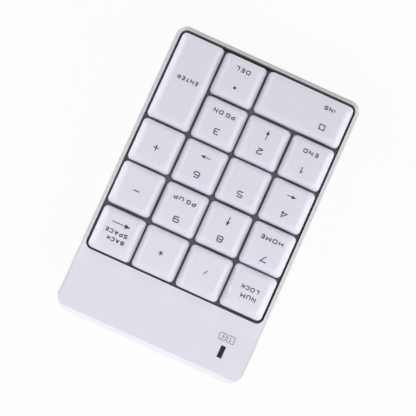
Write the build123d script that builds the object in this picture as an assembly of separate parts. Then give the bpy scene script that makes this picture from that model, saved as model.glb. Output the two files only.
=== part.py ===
from build123d import *

import math
import os

# Cordless numeric keypad. Millimetres, +Z up, +X to the user's right, +Y away from the user.
# The origin is on the table, under the middle of the case. The deck, the top face around the
# keys, slopes down towards the user. What hangs from it is placed in deck coordinates:
# x across, y up the slope from the near edge, z along the deck's normal, 0 on the deck.

# Key field
key_pitch = 19.05
columns = 4
rows = 5
key_gap = 0.95

# Keycaps, heights along the deck's normal
key_travel = 2.5
keycap_top = 4.0
keycap_shoulder = 0.9
keycap_skirt = 1.0
keycap_wall = 1.1
keycap_roof = 1.3
keycap_slope_x = 2.8
keycap_slope_y = 2.2
keycap_edge = 0.45
keycap_base_radius = 1.7
keycap_top_radius = 2.2
plunger_width = 5.2
plunger_pocket = 2.8
plunger_end = 4.6
hook_width = 2.0
hook_reach = 0.7
hook_height = 0.8
hook_top = 2.6

# Case
deck_angle = 4.0
near_height = 10.5
foot_height = 1.0
rim_side = 1.6
rim_near = 1.8
band_depth = 26.3
deck_thickness = 2.0
wall = 1.6
floor_thickness = 1.5
top_case_depth = 6.0
near_corner_radius = 4.5
far_corner_radius = 6.0
window_radius = 3.0
top_edge_radius = 0.7
far_bevel = 1.85
far_bevel_angle = 45.0
bottom_edge_radius = 1.0
lip_thickness = 0.8
lip_height = 1.4
seam_depth = 0.3
seam_height = 0.35
window_wall = 1.2

# Layers under the keys, top to bottom
guide_thickness = 1.2
guide_barrel_wall = 1.1
barrel_top = 0.2
dome_space = 2.2
dome_sheet_thickness = 0.4
film_thickness = 0.15
backing_thickness = 0.6
guide_skirt = 1.2
dome_base_diameter = 7.6
dome_crown_diameter = 4.6
dome_wall = 0.35
dome_pill_diameter = 2.4
dome_pill_gap = 0.35
rib_thickness = 1.2

# Stabilizer wires of the long keys
wire_diameter = 1.2
wire_arm = 7.0
wire_span = 24.0
wire_end = 2.6
wire_offset = 5.6
wire_clip_spacing = 14.0
wire_clip_width = 2.0
wire_clip_wall = 0.9
lug_thickness = 1.4
lug_rim = 0.7

# Screws
screw_diameter = 2.0
screw_length = 6.0
screw_head_diameter = 3.8
screw_head_height = 1.2
screw_grip = 2.0
screw_recess = 0.5
post_diameter = 6.4
boss_diameter = 5.0
band_boss_diameter = 5.5
band_boss_depth = 8.0
band_screw_x = (-14.5, 27.5)
board_screw_diameter = 1.6
board_screw_head = 3.0
board_screw_head_height = 0.9
board_boss_diameter = 3.6

# Indicator and circuit board
lens_x = -28.4
lens_from_window = 15.8
lens_width = 1.95
lens_length = 5.0
lens_flange = 0.8
lens_flange_height = 0.5
lens_inset = 0.05
led_size = (1.6, 0.8, 0.75)
led_spacing = 2.4
board_width = 17.6
board_length = 19.0
board_thickness = 1.2
board_depth = 3.4
board_from_window = 2.6
chip_size = (5.0, 5.0, 0.9)
crystal_size = (3.2, 2.5, 0.8)
tail_width = 10.6
clamp_width = 4.0
clamp_thickness = 1.2
clamp_from_edge = 2.6

# Battery bay, cell and door
cell_diameter = 10.5
cell_length = 44.5
cell_nub_diameter = 3.8
cell_nub_length = 1.1
cell_clearance = 0.4
cell_edge_radius = 0.5
cell_height = 3.9
bay_left = -18.5
bay_wall = 1.2
bay_far_gap = 0.6
bay_ceiling = 1.2
contact_thickness = 0.4
contact_width = 8.0
contact_tab = 2.6
spring_length = 4.2
spring_wire = 0.5
spring_diameter = 6.0
spring_turns = 3
door_step = 0.9
door_lip = 0.75
door_upstand = 6.0
door_tongue_width = 8.0
door_tongue_reach = 1.7
door_tongue_height = 0.9
door_pad_height = 1.1
grip_count = 4
grip_pitch = 1.6
grip_width = 14.0
grip_depth = 0.35

# Power switch in the right wall
switch_size = (3.6, 8.6, 3.6)
switch_shelf = 1.7
switch_slider_depth = 2.4
switch_slider_length = 3.4
switch_slider_height = 2.0
switch_travel = 2.0
switch_stem_length = 2.6
switch_stem_height = 1.6
switch_recess = (8.4, 4.2, 0.75)
switch_stem_below = 0.3
lead_diameter = 1.0
lead_bend = 3.0

# Stowed receiver, its slot opens in the far wall
receiver_cap_size = (14.6, 6.4, 6.6)
receiver_plug_size = (12.0, 12.0, 4.5)
receiver_shell = 0.3
receiver_tongue = 1.9
receiver_recess = 0.3
receiver_cap_radius = 1.2
slot_wall = 1.2
slot_end_gap = 0.5
finger_notch_radius = 5.0

# Feet and label
foot_size = (4.4, 12.0)
foot_recess = 0.6
foot_inset_x = 4.0
foot_inset_near = 12.0
foot_gap = 1.0
label_size = (27.0, 38.0)
label_thickness = 0.12
label_recess = 0.2
label_radius = 1.5
label_offset_y = -11.0

# Clearances
slide_clearance = 0.1
fit_clearance = 0.2
running_clearance = 0.08
touch_clearance = 0.05
thread_clearance = 0.05
press_gap = 0.3
boss_gap = 0.6

# How far cutters run past a face, and joined pieces into each other
beyond = 1.0
overlap = 0.2

# Worked out from the above
field_width = columns * key_pitch
field_length = rows * key_pitch
window_width = field_width + key_gap
window_near = rim_near
window_far = rim_near + key_gap + field_length
deck_length = window_far + band_depth
case_width = window_width + 2 * rim_side
case_length = deck_length * math.cos(math.radians(deck_angle))
reach = case_length
near_wall_y = -case_length / 2
far_wall_y = case_length / 2
deck_near_z = foot_height + near_height
floor_top = foot_height + floor_thickness
field_near = window_near + key_gap / 2
guide_top = -(keycap_skirt + key_travel + press_gap)
guide_bottom = guide_top - guide_thickness
dome_sheet_top = guide_bottom - dome_space
dome_sheet_bottom = dome_sheet_top - dome_sheet_thickness
film_bottom = dome_sheet_bottom - 3 * film_thickness
backing_bottom = film_bottom - backing_thickness
deck = Location((0, near_wall_y, deck_near_z), (deck_angle, 0, 0))
tilt_sin = math.sin(math.radians(deck_angle))
tilt_cos = math.cos(math.radians(deck_angle))


def block(x, y, z):
    """Box between the low and high value given for each axis."""
    size = [high - low for low, high in (x, y, z)]
    middle = [(high + low) / 2 for low, high in (x, y, z)]
    return Pos(*middle) * Box(*size)


def centred(middle, size):
    """Low and high value of a span about its middle."""
    return (middle - size / 2, middle + size / 2)


def prism(width, length, radius, low, high):
    """Upright prism about the Z axis with rounded corners."""
    return Pos(0, 0, low) * extrude(RectangleRounded(width, length, radius), high - low)


def column(x, y, diameter, low, high):
    """Upright round column."""
    return Pos(x, y, (low + high) / 2) * Cylinder(diameter / 2, high - low)


def deck_slab(low, high):
    """Everything between two heights measured along the deck's normal."""
    return deck * block((-reach, reach), (-reach, 2 * reach), (low, high))


def world_y(y, z):
    """Level distance from the origin of a point in deck coordinates."""
    return near_wall_y + y * tilt_cos - z * tilt_sin


def world_z(y, z):
    """Height above the table of a point in deck coordinates."""
    return deck_near_z + y * tilt_sin + z * tilt_cos


def deck_y(y, z):
    """Distance up the slope, at a height along the normal, of a level distance."""
    return (y - near_wall_y + z * tilt_sin) / tilt_cos


def outline(inset):
    """Plan of the case, moved inwards by inset."""
    plan = Rectangle(case_width - 2 * inset, case_length - 2 * inset)
    corners = plan.vertices().sort_by(Axis.Y)
    plan = fillet(corners[:2], near_corner_radius - inset)
    corners = plan.vertices().sort_by(Axis.Y)
    return fillet(corners[-2:], far_corner_radius - inset)


def tower(inset, low):
    """Plan of the case raised from a level far past the deck."""
    return Pos(0, 0, low) * extrude(outline(inset), reach)


def key_centre(column_index, row_index, width_units, length_units):
    """Middle of a key in deck coordinates, columns from the left and rows from the user."""
    x = (column_index + width_units / 2 - columns / 2) * key_pitch
    y = field_near + (row_index + length_units / 2) * key_pitch
    return x, y


# Keys: name, column from the left, row from the user, width and length in key units
keys = [
    ("num_lock", 0, 4, 1, 1),
    ("divide", 1, 4, 1, 1),
    ("multiply", 2, 4, 1, 1),
    ("backspace", 3, 4, 1, 1),
    ("seven", 0, 3, 1, 1),
    ("eight", 1, 3, 1, 1),
    ("nine", 2, 3, 1, 1),
    ("minus", 3, 3, 1, 1),
    ("four", 0, 2, 1, 1),
    ("five", 1, 2, 1, 1),
    ("six", 2, 2, 1, 1),
    ("plus", 3, 2, 1, 1),
    ("one", 0, 1, 1, 1),
    ("two", 1, 1, 1, 1),
    ("three", 2, 1, 1, 1),
    ("enter", 3, 0, 1, 2),
    ("zero", 0, 0, 2, 1),
    ("decimal", 2, 0, 1, 1),
]

# Stabilizer wire, in the long key's own frame with the long side along X: the middle run turns
# in clips on the guide plate, and the ends lift with the keycap's lugs.
wire_radius = wire_diameter / 2
wire_pivot_z = guide_top + wire_radius + press_gap
wire_lift = math.degrees(math.asin(key_travel / wire_arm))
wire_rest_y = wire_arm * math.cos(math.radians(wire_lift)) - wire_offset
wire_rest_z = wire_pivot_z + key_travel
wire_press_y = wire_arm - wire_offset
lug_x = wire_span / 2 + wire_radius + 2 * fit_clearance + lug_thickness / 2
lug_slot_y = (wire_rest_y - wire_radius - slide_clearance, wire_press_y + wire_radius + slide_clearance)
lug_slot_z = centred(wire_rest_z, wire_diameter + 2 * slide_clearance)
lug_room = lug_rim + 2 * fit_clearance


def turned(units_x, units_y):
    """Long keys that run up the slope carry the same parts, a quarter turn round."""
    return Rot(0, 0, 90) if units_y > units_x else Rot(0, 0, 0)


def cap_body(width, length, inset, low, high, edge):
    """Skirt and tapered crown of a keycap, its faces moved inwards by inset."""
    across = width - 2 * inset
    along = length - 2 * inset
    base = RectangleRounded(across, along, keycap_base_radius - inset * 0.5)
    skirt = Pos(0, 0, low) * extrude(base, keycap_shoulder - low)
    brow_share = 1 - edge / (high - keycap_shoulder)
    brow = RectangleRounded(
        across - 2 * (keycap_slope_x - edge) * brow_share,
        along - 2 * (keycap_slope_y - edge) * brow_share,
        keycap_top_radius,
    )
    top = RectangleRounded(across - 2 * keycap_slope_x, along - 2 * keycap_slope_y, keycap_top_radius - edge)
    sections = [
        Pos(0, 0, keycap_shoulder) * base,
        Pos(0, 0, high - edge) * brow,
        Pos(0, 0, high) * top,
    ]
    return skirt + loft(sections, ruled=True)


def stabilizer_lugs():
    """Two slotted ears under a long keycap's roof that take the wire's ends."""
    lugs = []
    for side in (-1, 1):
        ear = block(
            centred(side * lug_x, lug_thickness),
            (lug_slot_y[0] - lug_rim, lug_slot_y[1] + lug_rim),
            (lug_slot_z[0] - lug_rim, keycap_top - keycap_roof + overlap),
        )
        slot = block(centred(side * lug_x, 2 * lug_thickness), lug_slot_y, lug_slot_z)
        lugs.append(ear - slot)
    return lugs


def keycap(units_x, units_y):
    """Hollow keycap with its plunger and hooks, about the deck's plane."""
    width = units_x * key_pitch - key_gap
    length = units_y * key_pitch - key_gap
    cap = cap_body(width, length, 0, -keycap_skirt, keycap_top, keycap_edge)
    roof = keycap_top - keycap_roof
    cap -= cap_body(width, length, keycap_wall, -keycap_skirt - 1, roof, keycap_edge)
    half = plunger_width / 2
    plunger = block((-half, half), (-half, half), (-plunger_end, roof + overlap))
    pocket = plunger_pocket / 2
    plunger -= block((-pocket, pocket), (-pocket, pocket), (-plunger_end - 1, -keycap_skirt))
    for side in (-1, 1):
        plunger += block(
            centred(side * (half + hook_reach / 2 - 0.2), hook_reach + 0.4),
            centred(0, hook_width),
            (-hook_top - hook_height, -hook_top),
        )
    cap += plunger
    if units_x + units_y > 2:
        for lug in stabilizer_lugs():
            cap += turned(units_x, units_y) * lug
    return cap


def stabilizer_wire():
    """Bent wire at rest: middle run, two lifted arms and two outward ends."""
    arm = wire_span / 2
    corners = [
        (-arm - wire_end, wire_rest_y, wire_rest_z),
        (-arm, wire_rest_y, wire_rest_z),
        (-arm, -wire_offset, wire_pivot_z),
        (arm, -wire_offset, wire_pivot_z),
        (arm, wire_rest_y, wire_rest_z),
        (arm + wire_end, wire_rest_y, wire_rest_z),
    ]
    path = FilletPolyline(*corners, radius=wire_radius * 1.2)
    section = Plane(corners[0], z_dir=(1, 0, 0)) * Circle(wire_radius)
    return sweep(section, path)


# Screw axes: under the key field through the backing plate, and under the band
plate_screws = [
    (side * key_pitch, world_y(field_near + row * key_pitch, backing_bottom))
    for side in (-1, 1)
    for row in (1, rows - 1)
]
band_screw_y = world_y(window_far + window_wall, -top_case_depth) + band_boss_diameter / 2 + boss_gap


def seat_height(y, joint):
    """Height of a screw head's seat, a grip's length under the joint it closes."""
    return world_z(deck_y(y, joint), joint) - screw_grip


# Battery bay
contact_length = spring_length + cell_length + 2 * contact_thickness
bay_right = bay_left + contact_length
bay_far = far_wall_y - wall - bay_far_gap - bay_wall
bay_near = bay_far - cell_diameter - 2 * cell_clearance
cell_y = (bay_near + bay_far) / 2
cell_z = cell_height + cell_diameter / 2
bay_top = cell_height + cell_diameter + cell_clearance
cell_left = bay_left + contact_thickness + spring_length
foot_far_y = bay_near - bay_wall - foot_gap - foot_size[1] / 2

# Receiver slot
receiver_x = lens_x
slot_width = receiver_cap_size[0] + 2 * fit_clearance
slot_height = receiver_cap_size[2] + 2 * fit_clearance
receiver_z = floor_top + slot_height / 2
receiver_far = far_wall_y - receiver_recess
receiver_shoulder = receiver_far - receiver_cap_size[1]
receiver_end = receiver_shoulder - receiver_plug_size[1]
slot_end = receiver_end - slot_end_gap

# Circuit board
board_near = window_far + board_from_window
board_x = (bay_left - bay_wall - fit_clearance - board_width, bay_left - bay_wall - fit_clearance)
board_z = (-board_depth - board_thickness, -board_depth)
clamp_y = board_near + clamp_from_edge
lens_y = window_far + lens_from_window
board_screw_x = [
    board_x[0] + board_boss_diameter / 2 + fit_clearance,
    board_x[1] - board_boss_diameter / 2 - fit_clearance,
]

# Power switch
switch_far = bay_near - bay_wall - contact_thickness - touch_clearance
switch_y = switch_far - switch_size[1] / 2
switch_z = floor_top + switch_shelf + switch_size[2] / 2
switch_right = case_width / 2 - wall - touch_clearance
switch_left = switch_right - switch_size[0]
slider_y = switch_y - switch_travel / 2
slider_right = switch_right
slider_left = slider_right - switch_slider_depth
stem_right = case_width / 2 - switch_stem_below

# Sheets under the keys
stack_width = window_width - 2 * fit_clearance
stack_near = window_near + fit_clearance
stack_far = window_far - fit_clearance
stack_y = (stack_near + stack_far) / 2
stack_length = stack_far - stack_near
stack_radius = window_radius - fit_clearance


def stack_sheet(low, high):
    """Sheet of the stack under the keys, with clearance holes for the screws."""
    sheet = deck * Pos(0, stack_y, 0) * prism(stack_width, stack_length, stack_radius, low, high)
    for x, y in plate_screws:
        sheet -= column(x, y, screw_diameter + 4 * fit_clearance, 0, reach)
    return sheet


def case_block():
    """Outside of the closed case, its lower edge rounded."""
    body = tower(0, foot_height) & deck_slab(-reach, 0)
    edges = body.faces().sort_by(Axis.Z)[0].edges()
    return fillet(edges, bottom_edge_radius)


def above_far_bevel():
    """What the flat bevel along the far end of the deck takes away."""
    edge = deck * Pos(0, deck_length - far_bevel, 0) * Rot(-far_bevel_angle, 0, 0)
    return edge * block((-reach, reach), (-reach, reach), (0, reach))


def top_case():
    """Upper shell: thin rim round the keys, plain band, bosses for screws and board."""
    shell = tower(0, 0) & deck_slab(-top_case_depth, 0)
    rim = shell.faces().sort_by(deck_normal)[-1].edges()
    shell = fillet(rim, top_edge_radius) - above_far_bevel()
    shell -= tower(wall, 0) & deck_slab(-reach, -deck_thickness)
    inside = tower(wall, 0) & deck_slab(-top_case_depth, -deck_thickness)
    frame_wall = deck * block(
        (-case_width / 2, case_width / 2),
        (window_far, window_far + window_wall),
        (-top_case_depth, -deck_thickness),
    )
    shell += frame_wall & inside
    window_y = (window_near + window_far) / 2
    window_length = window_far - window_near
    shell -= deck * Pos(0, window_y, 0) * prism(
        window_width, window_length, window_radius, -top_case_depth - 1, 1
    )
    rebate = tower(wall - lip_thickness - touch_clearance, 0) & deck_slab(
        -top_case_depth - 1, -top_case_depth + lip_height + touch_clearance
    )
    keep = deck * block(
        (-case_width / 2 + wall, case_width / 2 - wall),
        (window_far, window_far + window_wall),
        (-top_case_depth, 0),
    )
    shell -= rebate - keep
    seam = tower(-1, 0) - tower(seam_depth, 0)
    shell -= seam & deck_slab(-top_case_depth - 1, -top_case_depth + seam_height)
    for x in band_screw_x:
        boss = column(x, band_screw_y, band_boss_diameter, 0, reach)
        shell += boss & deck_slab(-band_boss_depth, -deck_thickness / 2)
        seat = seat_height(band_screw_y, -band_boss_depth)
        pilot = screw_diameter + 2 * thread_clearance
        shell -= column(x, band_screw_y, pilot, 0, seat + screw_length + overlap)
    for x in board_screw_x:
        shell += deck * column(x, clamp_y, board_boss_diameter, -board_depth, -deck_thickness / 2)
        pilot = board_screw_diameter + 2 * thread_clearance
        shell -= deck * column(x, clamp_y, pilot, -board_depth - beyond, -deck_thickness + overlap)
    shell -= deck * block(
        centred(lens_x, lens_width + 2 * touch_clearance),
        centred(lens_y, lens_length + 2 * touch_clearance),
        (-deck_thickness - 1, 1),
    )
    return shell


def bottom_case():
    """Lower shell: wedge, posts and ribs, battery bay, receiver slot, switch seat."""
    shell = case_block() & deck_slab(-reach, -top_case_depth)
    shell -= tower(wall, floor_top)
    lip = tower(wall - lip_thickness, foot_height + 1) - tower(wall, foot_height)
    shell += lip & deck_slab(-top_case_depth - 1, -top_case_depth + lip_height)
    inside = tower(wall - 0.5, foot_height + 0.5)
    # Ribs and screw posts that carry the backing plate
    for side in (-1, 1):
        rib = block(
            centred(side * key_pitch / 2, rib_thickness),
            (near_wall_y + wall, world_y(stack_far, backing_bottom)),
            (floor_top - overlap, reach),
        )
        shell += rib & deck_slab(-reach, backing_bottom)
    for x, y in plate_screws:
        post = column(x, y, post_diameter, foot_height + overlap, reach)
        shell += post & deck_slab(-reach, backing_bottom)
    for x in band_screw_x:
        post = column(x, band_screw_y, post_diameter, foot_height + overlap, reach)
        shell += post & deck_slab(-reach, -band_boss_depth)
    # Battery bay: walls and ceiling, open below for the door
    bay = block(
        (bay_left - bay_wall, bay_right + bay_wall),
        (bay_near - bay_wall, bay_far + bay_wall),
        (floor_top - overlap, bay_top + bay_ceiling),
    )
    shell += bay & inside
    # Receiver slot: a box that is open in the far wall
    box = block(
        centred(receiver_x, slot_width + 2 * slot_wall),
        (slot_end - slot_wall, far_wall_y - wall / 2),
        (floor_top - overlap, floor_top + slot_height + slot_wall),
    )
    shell += box & inside
    # Shelf for the power switch, with a cheek at its near end
    shelf_x = (switch_left, case_width / 2 - wall / 2)
    switch_near = switch_far - switch_size[1]
    shell += block(
        shelf_x,
        (switch_near - rib_thickness, switch_far),
        (floor_top - overlap, switch_z - switch_size[2] / 2),
    )
    shell += block(
        shelf_x,
        (switch_near - rib_thickness, switch_near - touch_clearance),
        (floor_top - overlap, switch_z + switch_size[2] / 2),
    )
    # Hollows
    shell -= block((bay_left, bay_right), (bay_near, bay_far), (floor_top, bay_top))
    far_slot = (bay_far - overlap, far_wall_y - wall)
    shell -= block((bay_left, bay_right), far_slot, (floor_top, cell_height))
    shell -= block(
        centred(receiver_x, slot_width), (slot_end, far_wall_y + 1), (floor_top, floor_top + slot_height)
    )
    shell -= column(receiver_x, far_wall_y, 2 * finger_notch_radius, 0, floor_top + overlap)
    # Opening for the door: a narrow mouth with a ledge each side, and a gap in the far wall
    mouth_x = (bay_left + door_step, bay_right - door_step)
    mouth_y = (bay_near, far_wall_y + beyond)
    shell -= block(mouth_x, mouth_y, (0, floor_top + overlap))
    shell -= block((bay_left, bay_right), mouth_y, (foot_height + door_lip, floor_top + overlap))
    shell -= block(
        (bay_left, bay_right),
        (far_wall_y - wall, far_wall_y + beyond),
        (0, foot_height + door_upstand),
    )
    shell -= block(
        centred((bay_left + bay_right) / 2, door_tongue_width + 2 * fit_clearance),
        (bay_near - bay_wall - beyond, bay_near + overlap),
        (floor_top, floor_top + door_tongue_height + 2 * fit_clearance),
    )
    # Ways through for the contacts' tabs
    shell -= deck * block(
        (bay_left - bay_wall - 1, bay_left + contact_thickness + fit_clearance),
        centred(deck_y(cell_y, board_z[0]), contact_tab + 2 * fit_clearance),
        (board_z[0] - contact_thickness - fit_clearance, board_z[0] + fit_clearance),
    )
    shell -= block(
        (bay_right - contact_thickness - fit_clearance, bay_right),
        (bay_near - bay_wall - overlap, bay_near + overlap),
        centred(switch_z, contact_tab + 2 * fit_clearance),
    )
    # Slot and recess for the switch's stem
    shell -= block(
        (switch_right, case_width / 2 + 1),
        centred(switch_y, switch_stem_length + switch_travel + 3 * fit_clearance),
        centred(switch_z, switch_stem_height + 3 * fit_clearance),
    )
    shell -= block(
        (case_width / 2 - switch_recess[2], case_width / 2 + 1),
        centred(switch_y, switch_recess[0]),
        centred(switch_z, switch_recess[1]),
    )
    shell -= block(
        (switch_left - 1, switch_right + touch_clearance),
        centred(switch_y, switch_size[1] + 2 * touch_clearance),
        (switch_z - switch_size[2] / 2, reach),
    ) & inside
    # Screw holes with recessed heads
    joints = [(x, y, backing_bottom) for x, y in plate_screws]
    joints += [(x, band_screw_y, -band_boss_depth) for x in band_screw_x]
    for x, y, joint in joints:
        shell -= column(x, y, screw_diameter + 2 * fit_clearance, 0, reach / 2)
        head = screw_head_diameter + 2 * fit_clearance
        shell -= column(x, y, head, 0, seat_height(y, joint))
    for x, y in foot_places:
        shell -= Pos(x, y, 0) * foot_pad(fit_clearance / 2, 0, foot_height + foot_recess)
    shell -= label_block(fit_clearance, 0, foot_height + label_recess)
    return shell


foot_places = [
    (side * (case_width / 2 - foot_inset_x), y)
    for side in (-1, 1)
    for y in (near_wall_y + foot_inset_near, foot_far_y)
]


def label_block(extra, low, high):
    """Rounded label, or its recess when made larger."""
    width = label_size[0] + 2 * extra
    return Pos(0, label_offset_y, 0) * prism(width, label_size[1] + 2 * extra, label_radius, low, high)


def foot_pad(extra, low, high):
    """Rounded pad, or its recess when made larger."""
    width = foot_size[0] + 2 * extra
    return prism(width, foot_size[1] + 2 * extra, width * 0.45, low, high)


def key_guide_plate():
    """Tray with a square barrel for each plunger, screw bosses and wire clips."""
    plate = Pos(0, stack_y, 0) * prism(stack_width, stack_length, stack_radius, guide_bottom, guide_top)
    skirt = Pos(0, stack_y, 0) * prism(stack_width, stack_length, stack_radius, dome_sheet_top, guide_top)
    skirt -= Pos(0, stack_y, 0) * prism(
        stack_width - 2 * guide_skirt,
        stack_length - 2 * guide_skirt,
        stack_radius - guide_skirt,
        dome_sheet_top - 1,
        guide_top + 1,
    )
    plate += skirt
    bore = plunger_width + 2 * slide_clearance
    barrel = bore + 2 * guide_barrel_wall
    for name, column_index, row_index, units_x, units_y in keys:
        x, y = key_centre(column_index, row_index, units_x, units_y)
        spot = Pos(x, y, 0)
        plate += spot * block(centred(0, barrel), centred(0, barrel), (guide_top - overlap, -barrel_top))
        plate -= spot * block(centred(0, bore), centred(0, bore), (guide_bottom - 1, 1))
        plate -= spot * block(
            centred(0, barrel + overlap),
            centred(0, hook_width + 2 * fit_clearance),
            (guide_bottom - beyond, -hook_top),
        )
        if units_x + units_y > 2:
            spot = spot * turned(units_x, units_y)
            for side in (-1, 1):
                clip = block(
                    centred(side * wire_clip_spacing / 2, wire_clip_width),
                    centred(-wire_offset, wire_diameter + 2 * wire_clip_wall),
                    (guide_top - overlap, wire_pivot_z + wire_radius + wire_clip_wall),
                )
                plate += spot * clip
                plate -= spot * block(
                    centred(side * lug_x, lug_thickness + 4 * fit_clearance),
                    (lug_slot_y[0] - lug_room, lug_slot_y[1] + lug_room),
                    (guide_bottom - 1, 0),
                )
            tunnel = Cylinder(wire_radius + running_clearance, wire_span)
            plate -= spot * Pos(0, -wire_offset, wire_pivot_z) * Rot(0, 90, 0) * tunnel
    plate = deck * plate
    for x, y in plate_screws:
        boss = column(x, y, boss_diameter, 0, reach)
        plate += boss & deck_slab(dome_sheet_top, guide_bottom + overlap)
        tip = seat_height(y, backing_bottom) + screw_length + overlap
        plate -= column(x, y, screw_diameter + 2 * thread_clearance, 0, tip)
    return plate


def dome():
    """Hollow rubber dome with a pressing pill under its crown, standing on the sheet."""
    foot = dome_base_diameter / 2
    crown = dome_crown_diameter / 2
    pill = dome_pill_diameter / 2
    low = dome_sheet_bottom
    high = -plunger_end
    ceiling = high - 2 * dome_wall
    profile = Polyline(
        (foot - dome_wall, low),
        (foot, low),
        (foot, dome_sheet_top),
        (crown, high),
        (0, high),
        (0, low + dome_pill_gap),
        (pill, low + dome_pill_gap),
        (pill, ceiling),
        (crown - 2 * dome_wall, ceiling),
        (foot - dome_wall, dome_sheet_top),
        close=True,
    )
    return revolve(Plane.XZ * make_face(profile), Axis.Z)


def dome_sheet():
    """Rubber sheet with one dome under each plunger."""
    sheet = stack_sheet(dome_sheet_bottom, dome_sheet_top)
    one = dome()
    for name, column_index, row_index, units_x, units_y in keys:
        x, y = key_centre(column_index, row_index, units_x, units_y)
        mouth = dome_base_diameter - dome_wall
        sheet -= deck * column(x, y, mouth, dome_sheet_bottom - beyond, dome_sheet_top + beyond)
        sheet += deck * Pos(x, y, 0) * one
    return sheet


def membrane_film(index):
    """One of the three films, counted from the top."""
    high = dome_sheet_bottom - index * film_thickness
    film = stack_sheet(high - film_thickness, high)
    if index == 1:
        for name, column_index, row_index, units_x, units_y in keys:
            x, y = key_centre(column_index, row_index, units_x, units_y)
            film -= deck * column(x, y, dome_pill_diameter + 2, high - 1, high + 1)
    if index == 2:
        film += membrane_tail(high - film_thickness, high)
    return film


def membrane_tail(low, high):
    """Flat tail that climbs from the lowest film to the underside of the board."""
    start = stack_far - 1
    knee = window_far + window_wall + 0.4
    top = board_z[0]
    profile = Polyline(
        (start, low),
        (knee, low),
        (board_near + 0.5, top - film_thickness),
        (clamp_y + clamp_width / 2, top - film_thickness),
        (clamp_y + clamp_width / 2, top),
        (board_near + 0.2, top),
        (knee - 0.2, high),
        (start, high),
        close=True,
    )
    middle = (board_x[0] + board_x[1]) / 2
    strip = extrude(Plane.YZ * make_face(profile), tail_width / 2, both=True)
    return deck * Pos(middle, 0, 0) * strip


def case_screw():
    """Pan head screw pointing up, its head's seat at the origin."""
    screw = column(0, 0, screw_diameter, -overlap, screw_length)
    screw += column(0, 0, screw_head_diameter, -screw_head_height, 0)
    arm = screw_head_diameter * 0.6
    for turn in (0, 90):
        screw -= Rot(0, 0, turn) * block(
            centred(0, arm), centred(0, screw_recess), (-screw_head_height - beyond, -screw_head_height / 2)
        )
    return screw


def board_screw():
    """Small screw pointing up, its head's seat at the origin."""
    length = clamp_thickness + film_thickness + board_thickness + board_depth - deck_thickness
    screw = column(0, 0, board_screw_diameter, -overlap, length)
    screw += column(0, 0, board_screw_head, -board_screw_head_height, 0)
    screw -= block(
        centred(0, board_screw_head),
        centred(0, screw_recess),
        (-board_screw_head_height - beyond, -board_screw_head_height / 2),
    )
    return screw


def circuit_board():
    """Board under the band, with holes for its two screws."""
    board = block(board_x, (board_near, board_near + board_length), board_z)
    for x in board_screw_x:
        board -= column(x, clamp_y, board_screw_diameter + fit_clearance, board_z[0] - 1, board_z[1] + 1)
    return deck * board


def membrane_clamp():
    """Bar that presses the membrane's tail on the board."""
    high = board_z[0] - film_thickness
    bar = block(board_x, centred(clamp_y, clamp_width), (high - clamp_thickness, high))
    for x in board_screw_x:
        bar -= column(x, clamp_y, board_screw_diameter + fit_clearance, high - clamp_thickness - 1, high + 1)
    return deck * bar


def on_board_top(x, y, size):
    """Part soldered on the board's upper face."""
    return deck * block(centred(x, size[0]), centred(y, size[1]), (board_z[1], board_z[1] + size[2]))


def on_board_bottom(x, y, size):
    """Part soldered on the board's lower face."""
    return deck * block(centred(x, size[0]), centred(y, size[1]), (board_z[0] - size[2], board_z[0]))


def indicator_lens():
    """Dark window in the band, flush with it, flanged underneath."""
    body = block(centred(lens_x, lens_width), centred(lens_y, lens_length), (-deck_thickness, -lens_inset))
    flange = block(
        centred(lens_x, lens_width + 2 * lens_flange),
        centred(lens_y, lens_length + 2 * lens_flange),
        (-deck_thickness - lens_flange_height, -deck_thickness),
    )
    return deck * (body + flange)


def battery_cell():
    """Cell lying across the band, its nub to the right."""
    body_length = cell_length - cell_nub_length
    can = Pos(cell_left + body_length / 2, 0, 0) * Rot(0, 90, 0) * Cylinder(cell_diameter / 2, body_length)
    can = fillet(can.edges().filter_by(GeomType.CIRCLE), cell_edge_radius)
    nub_x = cell_left + body_length
    nub = Pos(nub_x + (cell_nub_length - 1) / 2, 0, 0) * Rot(0, 90, 0) * Cylinder(
        cell_nub_diameter / 2, cell_nub_length + 1
    )
    return Pos(0, cell_y, cell_z) * (can + nub)


def spring_contact():
    """Coil that presses on the cell's base, on a plate with a tab to the board."""
    leaf_x = (bay_left, bay_left + contact_thickness)
    plate = block(leaf_x, centred(cell_y, contact_width), centred(cell_z, contact_width))
    middle = deck_y(cell_y, board_z[0])
    tab_z = (board_z[0] - contact_thickness, board_z[0])
    riser_z = (board_z[0] - cell_diameter / 2, board_z[0])
    plate += deck * block(leaf_x, centred(middle, contact_tab), riser_z)
    plate += deck * block(
        (bay_left - bay_wall - contact_tab, bay_left + contact_thickness), centred(middle, contact_tab), tab_z
    )
    rise = spring_length - spring_wire
    pitch = rise / spring_turns
    path = Helix(pitch, rise, spring_diameter / 2)
    section = Plane(path @ 0, z_dir=path % 0) * Circle(spring_wire / 2)
    coil = sweep(section, path)
    base = bay_left + contact_thickness + spring_wire / 2 - touch_clearance
    return plate + Pos(base, cell_y, cell_z) * Rot(0, 90, 0) * coil


def plate_contact():
    """Plate that meets the cell's nub, its tail led out of the bay to the switch's end."""
    leaf_x = (bay_right - contact_thickness, bay_right)
    tail_y = (switch_far + touch_clearance, bay_near - bay_wall)
    tail_z = centred(switch_z, contact_tab)
    plate = block(leaf_x, centred(cell_y, contact_width), centred(cell_z, contact_width))
    plate += block(leaf_x, (tail_y[0], cell_y), tail_z)
    return plate + block((leaf_x[0], (switch_left + switch_right) / 2), tail_y, tail_z)


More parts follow.
